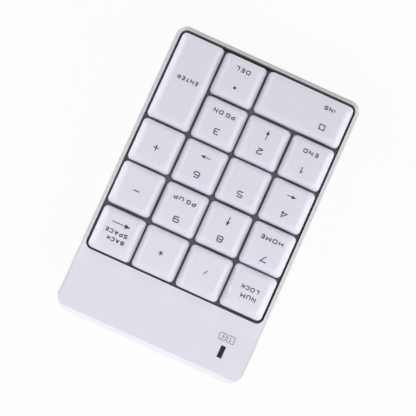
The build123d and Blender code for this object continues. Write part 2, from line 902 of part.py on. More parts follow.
def battery_door():
    """Flush door that slides out through the far wall on two stepped edges."""
    low = foot_height
    gap = fit_clearance
    mouth = block(
        (bay_left + door_step + gap, bay_right - door_step - gap),
        (bay_near + gap, far_wall_y),
        (low, floor_top),
    )
    steps = block(
        (bay_left + gap, bay_right - gap),
        (bay_near + gap, far_wall_y),
        (low + door_lip + slide_clearance, floor_top),
    )
    upstand = block(
        (bay_left + gap, bay_right - gap),
        (far_wall_y - wall + slide_clearance, far_wall_y),
        (low, low + door_upstand - gap),
    )
    door = (mouth + steps + upstand) & case_block()
    middle = (bay_left + bay_right) / 2
    door += block(
        centred(middle, door_tongue_width),
        (bay_near + gap, bay_near + 2 + gap),
        (floor_top - overlap, floor_top + slide_clearance + door_tongue_height),
    )
    door += block(
        centred(middle, door_tongue_width),
        (bay_near - door_tongue_reach, bay_near + 2 + gap),
        (floor_top + slide_clearance, floor_top + slide_clearance + door_tongue_height),
    )
    for side in (-1, 1):
        door += block(
            centred(middle + side * cell_length / 3, bay_wall),
            centred(cell_y, cell_diameter / 2),
            (floor_top - overlap, floor_top + door_pad_height),
        )
    for index in range(grip_count):
        y = cell_y + index * grip_pitch
        door -= block(centred(middle, grip_width), centred(y, grip_pitch / 2), (low - 1, low + grip_depth))
    return door


def power_switch_body():
    """Switch housing, open towards the wall for its slider."""
    body = block(
        (switch_left, switch_right), centred(switch_y, switch_size[1]), centred(switch_z, switch_size[2])
    )
    return body - block(
        (slider_left - slide_clearance, switch_right + 1),
        centred(switch_y, switch_slider_length + switch_travel + 2 * slide_clearance),
        centred(switch_z, switch_slider_height + 2 * slide_clearance),
    )


def power_switch_slider():
    """Slider with the stem that a fingertip moves, at rest in the off position."""
    slider = block(
        (slider_left, slider_right - slide_clearance),
        centred(slider_y, switch_slider_length),
        centred(switch_z, switch_slider_height),
    )
    return slider + block(
        (slider_right - slide_clearance - overlap, stem_right),
        centred(slider_y, switch_stem_length),
        centred(switch_z, switch_stem_height),
    )


def power_lead():
    """Wire from the switch up beside the bay and across to the edge of the board."""
    lead_y = bay_near - bay_wall - fit_clearance - lead_diameter / 2
    board_middle = -board_depth - board_thickness / 2
    run_z = world_z(deck_y(lead_y, board_middle), board_middle)
    start_x = switch_left + lead_diameter
    corners = [
        (start_x, lead_y, switch_z + switch_size[2] / 2),
        (start_x, lead_y, run_z),
        (board_x[1] + touch_clearance, lead_y, run_z),
    ]
    path = FilletPolyline(*corners, radius=lead_bend)
    return sweep(Plane(corners[0], z_dir=(0, 0, 1)) * Circle(lead_diameter / 2), path)


def receiver_cap():
    """Moulded grip of the receiver, its far face just inside the case's wall."""
    cap = block(
        centred(receiver_x, receiver_cap_size[0]),
        (receiver_shoulder, receiver_far),
        centred(receiver_z, receiver_cap_size[2]),
    )
    return fillet(cap.edges().filter_by(Axis.Y), receiver_cap_radius)


def receiver_plug_shell():
    """Folded steel shell of the plug, open at its end."""
    span = (receiver_end, receiver_shoulder)
    width, length, height = receiver_plug_size
    outer = block(centred(receiver_x, width), span, centred(receiver_z, height))
    return outer - block(
        centred(receiver_x, width - 2 * receiver_shell),
        (span[0] - beyond, span[1] + beyond),
        centred(receiver_z, height - 2 * receiver_shell),
    )


def receiver_plug_tongue():
    """Contact carrier inside the plug's shell."""
    low = receiver_z - receiver_plug_size[2] / 2 + receiver_shell
    return block(
        centred(receiver_x, receiver_plug_size[0] - 2 * receiver_shell),
        (receiver_end + 0.4, receiver_shoulder),
        (low, low + receiver_tongue),
    )


deck_normal = Axis((0, 0, 0), (0, -tilt_sin, tilt_cos))

parts = {
    "top_case": top_case(),
    "bottom_case": bottom_case(),
    "key_guide_plate": key_guide_plate(),
    "dome_sheet": dome_sheet(),
    "membrane_top_film": membrane_film(0),
    "membrane_spacer": membrane_film(1),
    "membrane_bottom_film": membrane_film(2),
    "backing_plate": stack_sheet(backing_bottom, film_bottom),
    "circuit_board": circuit_board(),
    "membrane_clamp": membrane_clamp(),
    "indicator_lens": indicator_lens(),
    "battery_cell": battery_cell(),
    "battery_spring_contact": spring_contact(),
    "battery_plate_contact": plate_contact(),
    "battery_door": battery_door(),
    "power_switch_body": power_switch_body(),
    "power_switch_slider": power_switch_slider(),
    "power_lead": power_lead(),
    "receiver_cap": receiver_cap(),
    "receiver_plug_shell": receiver_plug_shell(),
    "receiver_plug_tongue": receiver_plug_tongue(),
}

parts["controller_chip"] = on_board_bottom(lens_x, lens_y - 3, chip_size)
parts["radio_crystal"] = on_board_bottom(lens_x + chip_size[0], lens_y - 3, crystal_size)
parts["indicator_leds"] = Compound(
    [on_board_top(lens_x, lens_y + side * led_spacing / 2, led_size) for side in (-1, 1)]
)

screw = case_screw()
screw_seats = [(x, y, seat_height(y, backing_bottom)) for x, y in plate_screws]
screw_seats += [(x, band_screw_y, seat_height(band_screw_y, -band_boss_depth)) for x in band_screw_x]
parts["case_screws"] = Compound([Pos(x, y, z) * screw for x, y, z in screw_seats])
clamp_low = board_z[0] - film_thickness - clamp_thickness
parts["board_screws"] = Compound([deck * Pos(x, clamp_y, clamp_low) * board_screw() for x in board_screw_x])
parts["rubber_feet"] = Compound(
    [Pos(x, y, 0) * foot_pad(0, 0, foot_height + foot_recess) for x, y in foot_places]
)
label_low = foot_height + label_recess - label_thickness
parts["rating_label"] = label_block(0, label_low, foot_height + label_recess)

for name, column_index, row_index, units_x, units_y in keys:
    x, y = key_centre(column_index, row_index, units_x, units_y)
    parts["keycap_" + name] = deck * Pos(x, y, 0) * keycap(units_x, units_y)
    if units_x + units_y > 2:
        place = deck * Pos(x, y, 0) * turned(units_x, units_y)
        parts["stabilizer_wire_" + name] = place * stabilizer_wire()

os.makedirs("parts", exist_ok=True)
for name, shape in parts.items():
    export_step(shape, "parts/" + name + ".step")
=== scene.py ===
"""Cordless numeric keypad: a white moulded case, eighteen keys over a tray, a stowed receiver."""

import math

import bpy
import numpy as np
from mathutils import Matrix, Vector


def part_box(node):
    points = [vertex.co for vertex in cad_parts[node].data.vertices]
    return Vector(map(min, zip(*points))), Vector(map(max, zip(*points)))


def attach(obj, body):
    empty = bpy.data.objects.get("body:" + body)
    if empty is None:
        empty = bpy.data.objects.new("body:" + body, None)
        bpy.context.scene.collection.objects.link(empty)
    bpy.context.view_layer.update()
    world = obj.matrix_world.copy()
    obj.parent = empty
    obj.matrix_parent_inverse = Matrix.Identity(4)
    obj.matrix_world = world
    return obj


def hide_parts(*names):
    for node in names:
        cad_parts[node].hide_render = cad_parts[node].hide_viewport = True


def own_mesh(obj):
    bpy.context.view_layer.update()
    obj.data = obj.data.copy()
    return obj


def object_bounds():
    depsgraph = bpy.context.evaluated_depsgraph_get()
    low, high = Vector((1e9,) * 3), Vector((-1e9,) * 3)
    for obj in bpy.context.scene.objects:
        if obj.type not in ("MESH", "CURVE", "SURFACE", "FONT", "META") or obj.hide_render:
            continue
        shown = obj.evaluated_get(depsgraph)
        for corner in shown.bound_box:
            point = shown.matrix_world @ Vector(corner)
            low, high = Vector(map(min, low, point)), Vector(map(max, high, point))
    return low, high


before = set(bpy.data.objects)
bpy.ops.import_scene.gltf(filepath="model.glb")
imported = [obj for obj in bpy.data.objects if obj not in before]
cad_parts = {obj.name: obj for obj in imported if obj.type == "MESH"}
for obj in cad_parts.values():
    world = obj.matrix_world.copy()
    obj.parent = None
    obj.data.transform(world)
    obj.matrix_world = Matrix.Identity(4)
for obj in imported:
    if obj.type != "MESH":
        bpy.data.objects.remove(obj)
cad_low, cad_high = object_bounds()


# Camera. It stands almost overhead, a little beyond the far side, and is turned so that the
# keypad's far side comes at the bottom of the picture. Its long lens keeps the keys square.
camera_place = Vector((0.0277, 0.05615, 0.9861))
camera_aim = Vector((-0.0002, 0.00155, 0.0160))
picture_right = Vector((-0.9099, -0.4118, 0.0494))
camera_data = bpy.data.cameras.new("camera")
camera_data.lens = 211.2
camera_data.sensor_width = 36.0
camera_data.clip_start = 0.05
camera_data.clip_end = 20.0
back = (camera_place - camera_aim).normalized()
up = back.cross(picture_right).normalized()
camera_turn = Matrix((up.cross(back), up, back)).transposed().to_4x4()
camera = bpy.data.objects.new("camera", camera_data)
camera.matrix_world = Matrix.Translation(camera_place) @ camera_turn
bpy.context.collection.objects.link(camera)
bpy.context.scene.camera = camera
bpy.context.scene.view_settings.view_transform = "Standard"


# Light. A pale room gives an even base. Two soft boxes stand close beyond the far corners and a
# wide one hangs overhead; low strips graze the left, the right and the user's side. Each lamp has
# its place and size in metres and its power in watts, and faces the keypad.
room_light = 0.30
soft_boxes = (
    ("soft_box_far_left", (-0.280, 0.280, 0.277), (0.4, 0.225), 0.75),
    ("soft_box_far_right", (0.280, 0.280, 0.277), (0.4, 0.225), 0.75),
    ("soft_box_over", (0.0, 0.3, 1.7), (1.2, 1.2), 4.8),
    ("strip_left", (-1.160, 0.0, 0.300), (1.0, 0.35), 6.9),
    ("strip_right", (1.174, 0.0, 0.249), (1.0, 0.3), 5.9),
    ("strip_near", (0.0, -2.0, 0.81), (1.8, 0.9), 14.5),
)
for name, place, size, power in soft_boxes:
    lamp_data = bpy.data.lights.new(name, "AREA")
    lamp_data.shape = "RECTANGLE"
    lamp_data.size, lamp_data.size_y = size
    lamp_data.energy = power
    lamp = bpy.data.objects.new(name, lamp_data)
    lamp_turn = Vector(place).to_track_quat("Z", "Y").to_matrix().to_4x4()
    lamp.matrix_world = Matrix.Translation(place) @ lamp_turn
    bpy.context.collection.objects.link(lamp)
room = bpy.data.worlds.new("room")
room.use_nodes = True
room_sockets = room.node_tree.nodes["Background"].inputs
room_sockets["Color"].default_value = (1.0, 1.0, 1.0, 1.0)
room_sockets["Strength"].default_value = room_light
bpy.context.scene.world = room


# Floor. A wide sheet of paper, lit evenly from beneath so that only a faint shadow lies on it. Its
# finish is made as every other one here: a faint cloud in the colour, a fine grain in the surface
# and a roughness that wanders a little, with marks printed, plated or toned over them.
class Signal:
    """A shader socket that takes Python arithmetic: each sign adds the Math node of its name."""

    def __init__(self, tree, socket=None):
        self.tree = tree
        self.socket = socket

    def node(self, kind, settings=None, inputs=None, output=0):
        """One shader node: its settings first, then the values and links of its sockets."""
        made = self.tree.nodes.new("ShaderNode" + kind)
        for name, value in (settings or {}).items():
            setattr(made, name, value)
        for name, value in (inputs or {}).items():
            if isinstance(value, Signal):
                self.tree.links.new(value.socket, made.inputs[name])
            else:
                made.inputs[name].default_value = value
        return Signal(self.tree, made.outputs[output] if made.outputs else None)

    def maths(self, operation, *values):
        """The Math node of an operation on these values."""
        return self.node("Math", {"operation": operation}, dict(enumerate(values)))

    def axis(self, index):
        """One coordinate of a place: 0 across, 1 along."""
        return self.node("SeparateXYZ", None, {0: self}, index)

    def __add__(self, other):
        return self.maths("ADD", self, other)

    def __sub__(self, other):
        return self.maths("SUBTRACT", self, other)

    def __rsub__(self, other):
        return self.maths("SUBTRACT", other, self)

    def __mul__(self, other):
        return self.maths("MULTIPLY", self, other)

    def __truediv__(self, other):
        return self.maths("DIVIDE", self, other)

    def __lt__(self, other):
        return self.maths("LESS_THAN", self, other)

    def __gt__(self, other):
        return self.maths("GREATER_THAN", self, other)

    def __abs__(self):
        return self.maths("ABSOLUTE", self)

    __radd__ = __add__
    __rmul__ = __mul__


def painted(colour):
    """An sRGB colour of 0 to 255 as linear light with full cover, by that standard's curve."""
    share = np.asarray(colour) / 255
    light = np.where(share > 0.04045, ((share + 0.055) / 1.055) ** 2.4, share / 12.92)
    return (*(float(value) for value in light), 1.0)


def finish(name, colour, roughness=0.5, metallic=0.0, cloud=0.03, cloud_size=0.012,
           grain=0.0004, grain_depth=0.000004, marks=None, fixed=None):
    """A finish: the colour swings by cloud either way, the surface by grain_depth at each grain.

    A mark is its share from 0 to 1, its colour, its roughness and its metallic part, and marks
    gives them for a place. fixed holds the sockets that have one value all over.
    """
    material = bpy.data.materials.new(name)
    material.use_nodes = True
    tree = material.node_tree
    tree.nodes.clear()
    start = Signal(tree)
    place = start.node("TexCoord", output="Object")
    drift = start.node("TexNoise", None, {"Vector": place, "Scale": 1 / cloud_size, "Detail": 3.0})
    speck = start.node("TexNoise", None, {"Vector": place, "Scale": 1 / grain, "Detail": 2.0})
    base = painted(colour)
    darker = tuple(value * (1 - cloud) for value in base[:3]) + (1.0,)
    lighter = tuple(min(value * (1 + cloud), 1.0) for value in base[:3]) + (1.0,)
    shade = start.node("Mix", {"data_type": "RGBA"}, {0: drift, 6: darker, 7: lighter}, 2)
    wander = 0.10
    rough = drift * wander + (roughness - wander / 2)
    metal = metallic
    for mask, mark_colour, mark_rough, mark_metal in marks(place) if marks else ():
        shade = start.node("Mix", {"data_type": "RGBA"}, {0: mask, 6: shade, 7: painted(mark_colour)}, 2)
        rough = rough * (1 - mask) + mask * mark_rough
        if mark_metal != metallic:
            metal = (1 - mask) * metal + mask * mark_metal
    bump = start.node("Bump", None, {"Height": speck, "Distance": grain_depth, "Strength": 1.0})
    values = {"Base Color": shade, "Roughness": rough, "Metallic": metal, "Normal": bump}
    values.update(fixed or {})
    surface = start.node("BsdfPrincipled", None, values)
    start.node("OutputMaterial", None, {"Surface": surface})
    return material


def dress(material, *names):
    """Gives CAD nodes a finish in place of their plain one."""
    for name in names:
        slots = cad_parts[name].data.materials
        slots.clear()
        slots.append(material)


paper_half = 4.0
paper_unlit = (60, 60, 60)
paper_glow = {"Emission Color": (1.0, 1.0, 1.0, 1.0), "Emission Strength": 0.92}
paper_mesh = bpy.data.meshes.new("floor")
paper_signs = ((-1, -1), (1, -1), (1, 1), (-1, 1))
paper_corners = [(x * paper_half, y * paper_half, 0.0) for x, y in paper_signs]
paper_mesh.from_pydata(paper_corners, [], [(0, 1, 2, 3)])
paper_mesh.materials.append(
    finish("white_paper", paper_unlit, 0.9, cloud=0.002, cloud_size=0.3, grain_depth=0.0, fixed=paper_glow)
)
paper = bpy.data.objects.new("floor", paper_mesh)
bpy.context.collection.objects.link(paper)


# Upper shell. One white ABS moulding with a faint lilac cast: a thin rim round the keys and a
# plain band beyond them. A fine spark-eroded grain from the mould keeps its gloss low.
mm = 0.001
case_white = (215, 213, 223)
case_rough = 0.5


def start_to_full(share):
    """The share held between 0 and 1."""
    return share.maths("MINIMUM", share.maths("MAXIMUM", share, 0.0), 1.0)


def case_painted_shading(place):
    """Painted light and shade in strips: lighter round the keys and beside them on the band,
    painted shade on the near rim, its outer edge and the sides, a painted highlight on the far bevel.

    A tone's share is the distance past its start over its width.
    """
    across, along = abs(place.axis(0)), place.axis(1)
    band_end, band_width = cad_high[1] - 16.2 * mm, 10.0 * mm
    front_start, front_width = cad_low[1] + 2.1 * mm, 0.5 * mm
    lip_start, lip_width = cad_low[1] + 0.75 * mm, 0.35 * mm
    side_start, side_width = cad_high[0] - 1.05 * mm, 0.85 * mm
    bevel_start, bevel_width = cad_high[1] - 1.84 * mm, 0.02 * mm
    # The band's strip is painted light against the keys' shade; the front, lip and side strips are painted
    # shade; the bevel's is a painted highlight.
    tones = (
        ((band_end - along) / band_width, (224, 222, 232)),
        ((front_start - along) / front_width, (206, 206, 208)),
        ((lip_start - along) / lip_width, (182, 182, 185)),
        ((across - side_start) / side_width, (190, 190, 193)),
        ((along - bevel_start) / bevel_width, (229, 227, 236)),
    )
    return [(start_to_full(share), tone, case_rough, 0.0) for share, tone in tones]


# The case's marks are painted light and shade, strip by strip.
case_finish = finish(
    "case_plastic", case_white, case_rough, cloud=0.012, cloud_size=0.02, grain_depth=0.000003,
    marks=case_painted_shading,
)
dress(case_finish, "top_case")


# Lower shell and battery door. The same white ABS with a coarser grain, which hides the knocks
# of a desk; the door slides out of the far edge.
base_white = (199, 199, 203)
base_finish = finish("base_plastic", base_white, 0.5, cloud=0.015, grain=0.0006, grain_depth=0.000010)
dress(base_finish, "bottom_case", "battery_door")


# Feet. Four grey rubber pads, glued into recesses in the lower shell. They grip the desk and are
# all that touches it.
foot_grey = (84, 84, 88)
foot_finish = finish(
    "foot_rubber", foot_grey, 0.85, cloud=0.10, cloud_size=0.004, grain=0.0005, grain_depth=0.00003,
)
dress(foot_finish, "rubber_feet")


# Rating label. Matt silver polyester film with printed rules and blank boxes, stuck in its recess
# in the lower shell.
def label_rules(place):
    """A frame and a few rules: a point is printed where its distance to a line is small."""
    low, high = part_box("rating_label")
    margin, line = 1.6 * mm, 0.14 * mm
    rules = (10.0 * mm, 3.0 * mm, -4.0 * mm, -11.0 * mm)
    divider_left = 3.0 * mm
    half_x, half_y = (high[0] - low[0]) / 2 - margin, (high[1] - low[1]) / 2 - margin
    across = place.axis(0) - (low[0] + high[0]) / 2
    along = place.axis(1) - (low[1] + high[1]) / 2
    edge = place.maths("MAXIMUM", abs(across) - half_x, abs(along) - half_y)
    inside = edge < 0.0
    printed = abs(edge) < line
    for rule in rules:
        printed = place.maths("MAXIMUM", printed, (abs(along - rule) < line) * inside)
    below_first = (abs(across + divider_left) < line) * inside * (along < rules[0])
    printed = place.maths("MAXIMUM", printed, below_first)
    return [(printed, (70, 72, 76), 0.5, 0.0)]


label_silver = (196, 198, 202)
dress(finish("label_film", label_silver, 0.38, metallic=0.35, cloud=0.02, marks=label_rules), "rating_label")


# Screws. Self-tapping, of zinc-plated steel, driven up from below. Those of the case sit in the
# lower shell's recesses, and those of the board go through the clamp.
zinc = (176, 178, 180)
screw_finish = finish("screw_steel", zinc, 0.32, metallic=1.0, cloud=0.06, cloud_size=0.002)
dress(screw_finish, "case_screws", "board_screws")


# Key tray. Grey ABS with a square barrel for each key's plunger and clips for the stabilizer
# wires. It shows in the gaps, where the keys' own shade makes it dark.
tray_grey = (176, 176, 178)
tray_finish = finish("tray_plastic", tray_grey, 0.6, cloud=0.05, grain=0.0005, grain_depth=0.000008)
dress(tray_finish, "key_guide_plate")


# Layers under the domes: three clear polyester films with printed silver tracks between them,
# and a zinc-plated steel plate that stiffens the stack and takes the screws.
def silver_tracks(place):
    """Parallel tracks: a point is printed where its share of the pitch is less than a track's."""
    pitch, track = 2.4 * mm, 0.35
    turn = place.maths("FRACT", place.axis(0) / pitch)
    return [(turn < track, (150, 150, 152), 0.4, 0.0)]


film_clear = (206, 212, 210)
film_finish = finish("film", film_clear, 0.25, cloud=0.02, marks=silver_tracks)
dress(film_finish, "membrane_top_film", "membrane_bottom_film", "membrane_spacer")
plate_zinc = (168, 170, 172)
plate_finish = finish("plate_steel", plate_zinc, 0.35, metallic=1.0, cloud=0.08, cloud_size=0.006)
dress(plate_finish, "backing_plate")


# Gap shade strip. A thin dark strip with a foam finish round the inside of the upper shell's
# window is painted shade: a dark sheet that darkens the gap round the keys. It is thicker on the
# user's side and laps over the window's edge there. As every new piece, it is a stack of rings
# joined by quads, closed by poles or onto its first ring.
def rounded_rings(half_x, half_y, radius, height, arc_steps=6):
    """Rings round rectangles with round corners, one for each value of the arrays.

    A point is its corner's centre, the half size less the radius, plus the radius times the
    cosine and sine of its angle; four quarter turns follow each other anticlockwise.
    """
    half_x, half_y, radius, height = (
        np.broadcast_to(value, np.broadcast(half_x, half_y, radius, height).shape)[:, None]
        for value in (half_x, half_y, radius, height)
    )
    quarter = np.repeat(np.arange(4), arc_steps + 1)
    angle = (quarter + np.tile(np.linspace(0, 1, arc_steps + 1), 4)) * math.pi / 2
    side_x = np.array([1, -1, -1, 1])[quarter]
    side_y = np.array([1, 1, -1, -1])[quarter]
    x = side_x * (half_x - radius) + radius * np.cos(angle)
    y = side_y * (half_y - radius) + radius * np.sin(angle)
    return np.stack([x, y, np.broadcast_to(height, x.shape)], -1)


def skin(rings, loop=False):
    """Points and faces of a closed skin over rings: poles at both ends, or joined in a loop."""
    count, around, _ = rings.shape
    index = np.arange(count * around).reshape(count, around)
    beside = np.roll(index, -1, 1)
    points = rings.reshape(-1, 3)
    if loop:
        above, above_beside = np.roll(index, -1, 0), np.roll(beside, -1, 0)
        return points, np.stack([index, beside, above_beside, above], -1).reshape(-1, 4).tolist()
    faces = np.stack([index[:-1], beside[:-1], beside[1:], index[1:]], -1).reshape(-1, 4).tolist()
    first, last = np.full(around, len(points)), np.full(around, len(points) + 1)
    faces += np.stack([first, beside[0], index[0]], -1).tolist()
    faces += np.stack([last, index[-1], beside[-1]], -1).tolist()
    return np.concatenate([points, rings[[0, -1]].mean(1)]), faces


def volume(points, faces):
    """Six times the room inside a closed skin: the triple product summed over its fans."""
    corners = [(face[0], face[i], face[i + 1]) for face in faces for i in range(1, len(face) - 1)]
    a, b, c = (points[[corner[i] for corner in corners]] for i in range(3))
    return float(np.sum(a * np.cross(b, c)))


def piece(name, parts, material, body, replaced=(), smooth=True):
    """One object of closed skins, faces turned outwards, riding on a body."""
    points, faces, start = [], [], 0
    for part_points, part_faces in parts:
        centred = part_points - part_points.mean(0)
        turned = part_faces if volume(centred, part_faces) > 0 else [face[::-1] for face in part_faces]
        points.append(part_points)
        faces += [[corner + start for corner in face] for face in turned]
        start += len(part_points)
    mesh = bpy.data.meshes.new(name)
    mesh.from_pydata(np.concatenate(points).tolist(), [], faces)
    mesh.polygons.foreach_set("use_smooth", np.full(len(faces), smooth))
    mesh.materials.append(material)
    made = bpy.data.objects.new(name, mesh)
    bpy.context.collection.objects.link(made)
    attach(made, body)
    if replaced:
        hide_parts(*replaced)
    return made


deck_slope = math.radians(4.0)
deck_front_height = 11.5 * mm


def on_deck(points, across=0.0, along=0.0):
    """Deck coordinates, moved by across and along, to the model's: the slope turns them about X.

    Level distance is along times the cosine less height times the sine, from the front edge.
    """
    x, y, z = np.moveaxis(points, -1, 0)
    y = y + along
    level = cad_low[1] + y * math.cos(deck_slope) - z * math.sin(deck_slope)
    height = deck_front_height + y * math.sin(deck_slope) + z * math.cos(deck_slope)
    return np.stack([x + across, level, height], -1)


# The window's size, its distance from the deck's front edge and its corner are the shell's own.
window_across, window_along = 77.15 * mm, 96.2 * mm
window_front, window_corner = 1.8 * mm, 3.0 * mm
# A dark grey that stands in for the shade in the gap: painted shade.
gap_shade_grey = (66, 66, 69)
gap_shade_finish = finish("gap_shade_dark", gap_shade_grey, 0.9, cloud=0.10, cloud_size=0.002, grain_depth=0.00002)
strip_gap, strip_thickness = 0.02 * mm, 0.24 * mm
strip_front_extra, strip_lap = 0.20 * mm, 0.28 * mm
strip_foot, strip_top = -3.9 * mm, 0.03 * mm
lap_foot = strip_top / 6
# Six rings: up the outer face, out over the edge, up to the top, in across it and down inside.
strip_inset = strip_gap + np.array([0.0, 0.0, 0.0, 0.0, 1.0, 1.0]) * strip_thickness
strip_forward = np.array([0.0, 0.0, -strip_lap, -strip_lap, strip_front_extra, strip_front_extra]) / 2
strip_level = np.array([strip_foot, lap_foot, lap_foot, strip_top, strip_top, strip_foot])
strip_arc_steps = 10
strip_rings = rounded_rings(
    window_across / 2 - strip_inset, window_along / 2 - strip_inset - strip_forward,
    window_corner - strip_inset, strip_level, strip_arc_steps,
)
strip_rings[:, :, 1] += strip_forward[:, None]
strip_points, strip_faces = skin(strip_rings, loop=True)
strip_points = on_deck(strip_points, along=window_front + window_along / 2)
piece("gap_shade_strip", [(strip_points, strip_faces)], gap_shade_finish, "case", smooth=False)


# Keycaps. Hollow white ABS caps, softly rounded from the flat top down to an upright skirt, with
# a square plunger that runs in the tray's barrel. A hook on each side of it stops the cap. Each
# key has its units wide and long, then how far its cap stands off its place, in millimetres.
key_pitch = 19.05 * mm
keys = {
    "num_lock": (1, 1, 0.1, -0.35), "divide": (1, 1, 0.0, 0.1), "multiply": (1, 1, 0.05, 0.1),
    "backspace": (1, 1, -0.15, 0.1), "seven": (1, 1, 0.05, 0.05), "eight": (1, 1, 0.1, 0.05),
    "nine": (1, 1, -0.05, 0.2), "minus": (1, 1, 0.05, -0.25), "four": (1, 1, 0.1, 0.1),
    "five": (1, 1, 0.05, 0.0), "six": (1, 1, -0.05, 0.15), "plus": (1, 1, -0.05, -0.1),
    "one": (1, 1, 0.05, 0.15), "two": (1, 1, 0.05, 0.25), "three": (1, 1, -0.1, 0.3),
    "enter": (1, 2, -0.05, 0.0), "zero": (2, 1, 0.05, 0.0), "decimal": (1, 1, 0.05, 0.3),
}
key_gap = 0.95 * mm
cap_top = 4.0 * mm
cap_shoulder = 0.9 * mm
cap_foot = -1.0 * mm
cap_wall = 1.1 * mm
cap_roof = 1.3 * mm
cap_slope_x, cap_slope_y = 3.3 * mm, 2.1 * mm
cap_corner, cap_crown_corner = 1.9 * mm, 2.2 * mm
cap_fullness = 1.42
cap_edge, cap_edge_share = 0.12 * mm, 0.3
cap_flat_inset = 0.4 * mm
inner_steps, outer_steps = 7, 15
plunger_half, pocket_half, plunger_foot = 2.6 * mm, 1.4 * mm, -4.6 * mm
plunger_corner, plunger_overlap = 0.3 * mm, 0.2 * mm
hook_half_x, hook_half_y, hook_corner = 0.55 * mm, 1.0 * mm, 0.15 * mm
hook_low, hook_high, hook_out = -3.4 * mm, -2.6 * mm, 0.15 * mm
key_white = (218, 216, 227)


def cap_crown(half_x, half_y, top, steps):
    """Rings up a cap's side: across and up are powers of the cosine and sine of one angle."""
    angle = np.linspace(0, math.pi / 2, steps)
    inwards = 1 - np.cos(angle) ** (2 / cap_fullness)
    rise = np.sin(angle) ** (2 / cap_fullness)
    corner = cap_corner + (cap_crown_corner - cap_corner) * inwards
    return rounded_rings(
        half_x - cap_slope_x * inwards, half_y - cap_slope_y * inwards, corner,
        cap_shoulder + (top - cap_shoulder) * rise,
    )


def key_place(name):
    """Middle of a key across and up the deck, from its CAD node's box."""
    low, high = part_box("keycap_" + name)
    level = (low[1] + high[1]) / 2 - cad_low[1]
    return (low[0] + high[0]) / 2, level / math.cos(deck_slope)


def cap_parts(units_x, units_y):
    """Hollow cap, plunger and hooks as closed skins about the key's own middle."""
    half_x, half_y = (units_x * key_pitch - key_gap) / 2, (units_y * key_pitch - key_gap) / 2
    inner_foot = rounded_rings(
        half_x - cap_wall, half_y - cap_wall, cap_corner - cap_wall / 2, np.array([cap_foot]),
    )
    edge_inset = np.array([cap_edge, cap_edge_share * cap_edge, 0.0])
    edge_rise = np.array([0.0, cap_edge_share * cap_edge, cap_edge])
    outer_foot = rounded_rings(half_x - edge_inset, half_y - edge_inset, cap_corner, cap_foot + edge_rise)
    inner = cap_crown(half_x - cap_wall, half_y - cap_wall, cap_top - cap_roof, inner_steps)[::-1]
    outer = cap_crown(half_x, half_y, cap_top, outer_steps)
    flat = rounded_rings(
        half_x - cap_slope_x - cap_flat_inset, half_y - cap_slope_y - cap_flat_inset,
        cap_crown_corner, np.array([cap_top]),
    )
    parts = [skin(np.concatenate([inner, inner_foot, outer_foot, outer, flat]))]
    half = np.array([pocket_half, pocket_half, plunger_half, plunger_half])
    level = np.array([cap_foot, plunger_foot, plunger_foot, cap_top - cap_roof + plunger_overlap])
    parts.append(skin(rounded_rings(half, half, plunger_corner, level)))
    for side in (-1, 1):
        hook = rounded_rings(hook_half_x, hook_half_y, hook_corner, np.array([hook_low, hook_high]))
        parts.append(skin(hook + (side * (plunger_half + hook_out), 0, 0)))
    return parts


key_finish = finish(
    "key_plastic", key_white, 0.40, cloud=0.010, cloud_size=0.015, grain=0.0003, grain_depth=0.000002,
)
for name, (units_x, units_y, off_x, off_y) in keys.items():
    across, along = key_place(name)
    shell, *plunger = cap_parts(units_x, units_y)
    parts = [(on_deck(shell[0], across + off_x * mm, along + off_y * mm), shell[1])]
    parts += [(on_deck(points, across, along), faces) for points, faces in plunger]
    piece("cap_" + name, parts, key_finish, "key_" + name, ["keycap_" + name])


# Domes. A milky silicone mat on the films, with a hollow dome and a pressing pill inside it
# under each plunger.
silicone = (226, 226, 222)
mat_low, mat_high = -7.6 * mm, -7.2 * mm
mat_inset, mat_corner = 0.2 * mm, 2.8 * mm
dome_foot, dome_crown, dome_pill, dome_skin = 3.8 * mm, 2.3 * mm, 1.2 * mm, 0.35 * mm
dome_top, pill_gap = -4.6 * mm, 0.35 * mm


def round_rings(radius, height, around=24):
    """Rings about an upright axis: the radius times the cosine and sine of even angles."""
    angle = np.arange(around) * math.tau / around
    radius, height = (np.asarray(value, float)[:, None] for value in (radius, height))
    return np.stack([radius * np.cos(angle), radius * np.sin(angle), height * np.ones(around)], -1)


silicone_finish = finish("silicone", silicone, 0.55, cloud=0.03, grain_depth=0.000002)
mat_rings = rounded_rings(
    window_across / 2 - mat_inset, window_along / 2 - mat_inset, mat_corner,
    np.array([mat_low, mat_high]),
)
mat_points, mat_faces = skin(mat_rings)
mat_parts = [(on_deck(mat_points, along=window_front + window_along / 2), mat_faces)]
piece("dome_mat", mat_parts, silicone_finish, "case", ["dome_sheet"], smooth=False)
dome_rings = round_rings(
    [dome_pill, dome_pill, dome_crown - 2 * dome_skin, dome_foot - dome_skin, dome_foot, dome_crown],
    [mat_high + pill_gap, dome_top - 2 * dome_skin, dome_top - 2 * dome_skin, mat_high, mat_high, dome_top],
)
dome_points, dome_faces = skin(dome_rings)
for name in keys:
    across, along = key_place(name)
    dome_parts = [(on_deck(dome_points, across, along), dome_faces)]
    dome = piece("dome_" + name, dome_parts, silicone_finish, "case")
    foot = on_deck(np.array([0.0, 0.0, mat_high]), across, along)
    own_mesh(dome)


# Stabilizer wires. Bent spring steel under the two long keys, so that they go down level. Each
# turns in clips on the tray.
spring_steel = (150, 152, 156)
wire_finish = finish("wire_steel", spring_steel, 0.28, metallic=1.0, cloud=0.05, cloud_size=0.003)
dress(wire_finish, "stabilizer_wire_zero", "stabilizer_wire_enter")


# Key legends. Dark grey ink in wide square letters, pad printed a few hundredths of a millimetre
# thick on the caps' flat tops.
ink_grey = (62, 60, 66)
ink_low, ink_high = cap_top - 0.02 * mm, cap_top + 0.02 * mm
digit_stroke, word_stroke, sign_stroke, fine_stroke = 0.44 * mm, 0.41 * mm, 0.47 * mm, 0.38 * mm
